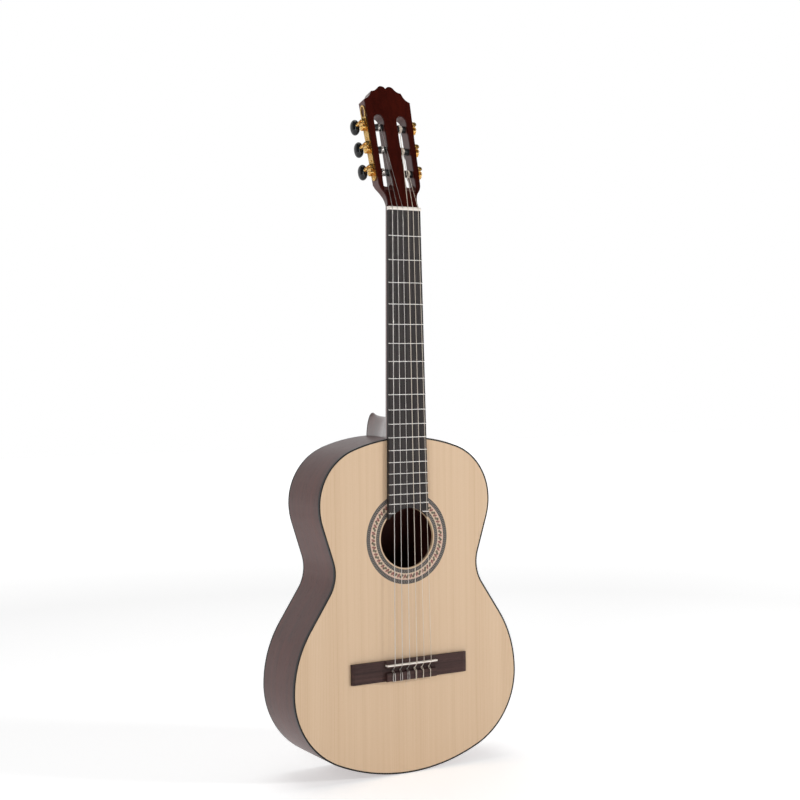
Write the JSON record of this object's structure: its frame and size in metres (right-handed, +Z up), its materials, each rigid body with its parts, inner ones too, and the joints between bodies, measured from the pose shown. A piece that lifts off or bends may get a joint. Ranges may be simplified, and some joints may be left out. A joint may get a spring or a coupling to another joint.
{
  "type": "classical guitar",
  "caption": "Classical guitar: waisted wooden sound box with round hole and tie bridge, slotted head with geared machines whose buttons turn the string rollers.",
  "frame": {"origin": "tail end of the soundboard's outer face, on the centre line", "axes": "+Z up the neck, +X to the treble side, +Y from the soundboard to the back"},
  "size_m": [0.3678, 0.1165, 0.9964],
  "materials": {
    "spruce_top": "satin varnish",
    "rosette_wood": "satin varnish",
    "black_binding": "gloss",
    "sapele": "satin varnish",
    "dark_strip": "satin varnish",
    "headplate_rosewood": "gloss varnish",
    "dark_rosewood": "oiled",
    "nickel_silver": "polished",
    "bone": "polished",
    "nylon_treble": "clear",
    "silver_wound": "wound",
    "gilt_brass": "polished",
    "black_plastic": "gloss"
  },
  "bodies": {
    "guitar": {"soundboard": "spruce_top", "rosette": "rosette_wood", "top_binding": "black_binding", "back_binding": "black_binding", "rib_bass": "sapele", "rib_treble": "sapele", "tail_graft": "dark_strip", "top_linings": "sapele", "back_linings": "sapele", "tail_block": "sapele", "heel_block": "sapele", "harmonic_bars": "spruce_top", "fan_braces": "spruce_top", "soundhole_patch": "spruce_top", "back_braces": "spruce_top", "back_seam_strip": "sapele", "back_bass_half": "sapele", "back_treble_half": "sapele", "back_centre_strip": "dark_strip", "neck": "sapele", "heel_cap": "dark_strip", "headplate": "headplate_rosewood", "fretboard": "dark_rosewood", "frets": "nickel_silver", "nut": "bone", "bridge": "dark_rosewood", "saddle": "bone", "string_1": "nylon_treble", "string_2": "nylon_treble", "string_3": "nylon_treble", "string_4": "silver_wound", "string_5": "silver_wound", "string_6": "silver_wound", "tuner_plate_treble": "gilt_brass", "tuner_plate_bass": "gilt_brass", "plate_screws": "gilt_brass"},
    "worm_1": {"worm_shaft_1": "gilt_brass", "tuner_button_1": "black_plastic"},
    "roller_1": {"tuner_cog_1": "gilt_brass", "string_roller_1": "black_plastic"},
    "worm_2": {"worm_shaft_2": "gilt_brass", "tuner_button_2": "black_plastic"},
    "roller_2": {"tuner_cog_2": "gilt_brass", "string_roller_2": "black_plastic"},
    "worm_3": {"worm_shaft_3": "gilt_brass", "tuner_button_3": "black_plastic"},
    "roller_3": {"tuner_cog_3": "gilt_brass", "string_roller_3": "black_plastic"},
    "worm_4": {"worm_shaft_4": "gilt_brass", "tuner_button_4": "black_plastic"},
    "roller_4": {"tuner_cog_4": "gilt_brass", "string_roller_4": "black_plastic"},
    "worm_5": {"worm_shaft_5": "gilt_brass", "tuner_button_5": "black_plastic"},
    "roller_5": {"tuner_cog_5": "gilt_brass", "string_roller_5": "black_plastic"},
    "worm_6": {"worm_shaft_6": "gilt_brass", "tuner_button_6": "black_plastic"},
    "roller_6": {"tuner_cog_6": "gilt_brass", "string_roller_6": "black_plastic"}
  },
  "joints": [
    {"name": "button_turn_1", "type": "hinge", "parent": "guitar", "child": "worm_1", "pos_m": [0.04053, 0.02301, 0.87357], "axis": [0, 0.9659, -0.2588], "continuous": true},
    {"name": "roller_turn_1", "type": "hinge", "parent": "guitar", "child": "roller_1", "pos_m": [0.0348, 0.02093, 0.86581], "axis": [0.9996, -0.0075, -0.0281], "continuous": true},
    {"name": "button_turn_2", "type": "hinge", "parent": "guitar", "child": "worm_2", "pos_m": [0.04155, 0.03207, 0.90737], "axis": [0, 0.9659, -0.2588], "continuous": true},
    {"name": "roller_turn_2", "type": "hinge", "parent": "guitar", "child": "roller_2", "pos_m": [0.03581, 0.02999, 0.8996], "axis": [0.9996, -0.0075, -0.0281], "continuous": true},
    {"name": "button_turn_3", "type": "hinge", "parent": "guitar", "child": "worm_3", "pos_m": [0.04257, 0.04112, 0.94116], "axis": [0, 0.9659, -0.2588], "continuous": true},
    {"name": "roller_turn_3", "type": "hinge", "parent": "guitar", "child": "roller_3", "pos_m": [0.03683, 0.03904, 0.9334], "axis": [0.9996, -0.0075, -0.0281], "continuous": true},
    {"name": "button_turn_4", "type": "hinge", "parent": "guitar", "child": "worm_4", "pos_m": [-0.04257, 0.04112, 0.94116], "axis": [0, 0.9659, -0.2588], "continuous": true},
    {"name": "roller_turn_4", "type": "hinge", "parent": "guitar", "child": "roller_4", "pos_m": [-0.03683, 0.03904, 0.9334], "axis": [-0.9996, -0.0075, -0.0281], "continuous": true},
    {"name": "button_turn_5", "type": "hinge", "parent": "guitar", "child": "worm_5", "pos_m": [-0.04155, 0.03207, 0.90737], "axis": [0, 0.9659, -0.2588], "continuous": true},
    {"name": "roller_turn_5", "type": "hinge", "parent": "guitar", "child": "roller_5", "pos_m": [-0.03581, 0.02999, 0.8996], "axis": [-0.9996, -0.0075, -0.0281], "continuous": true},
    {"name": "button_turn_6", "type": "hinge", "parent": "guitar", "child": "worm_6", "pos_m": [-0.04053, 0.02301, 0.87357], "axis": [0, 0.9659, -0.2588], "continuous": true},
    {"name": "roller_turn_6", "type": "hinge", "parent": "guitar", "child": "roller_6", "pos_m": [-0.0348, 0.02093, 0.86581], "axis": [-0.9996, -0.0075, -0.0281], "continuous": true}
  ],
  "couplings": [
    {"joint": "roller_turn_1", "follows": "button_turn_1", "ratio": 0.071429},
    {"joint": "roller_turn_2", "follows": "button_turn_2", "ratio": 0.071429},
    {"joint": "roller_turn_3", "follows": "button_turn_3", "ratio": 0.071429},
    {"joint": "roller_turn_4", "follows": "button_turn_4", "ratio": 0.071429},
    {"joint": "roller_turn_5", "follows": "button_turn_5", "ratio": 0.071429},
    {"joint": "roller_turn_6", "follows": "button_turn_6", "ratio": 0.071429}
  ]
}
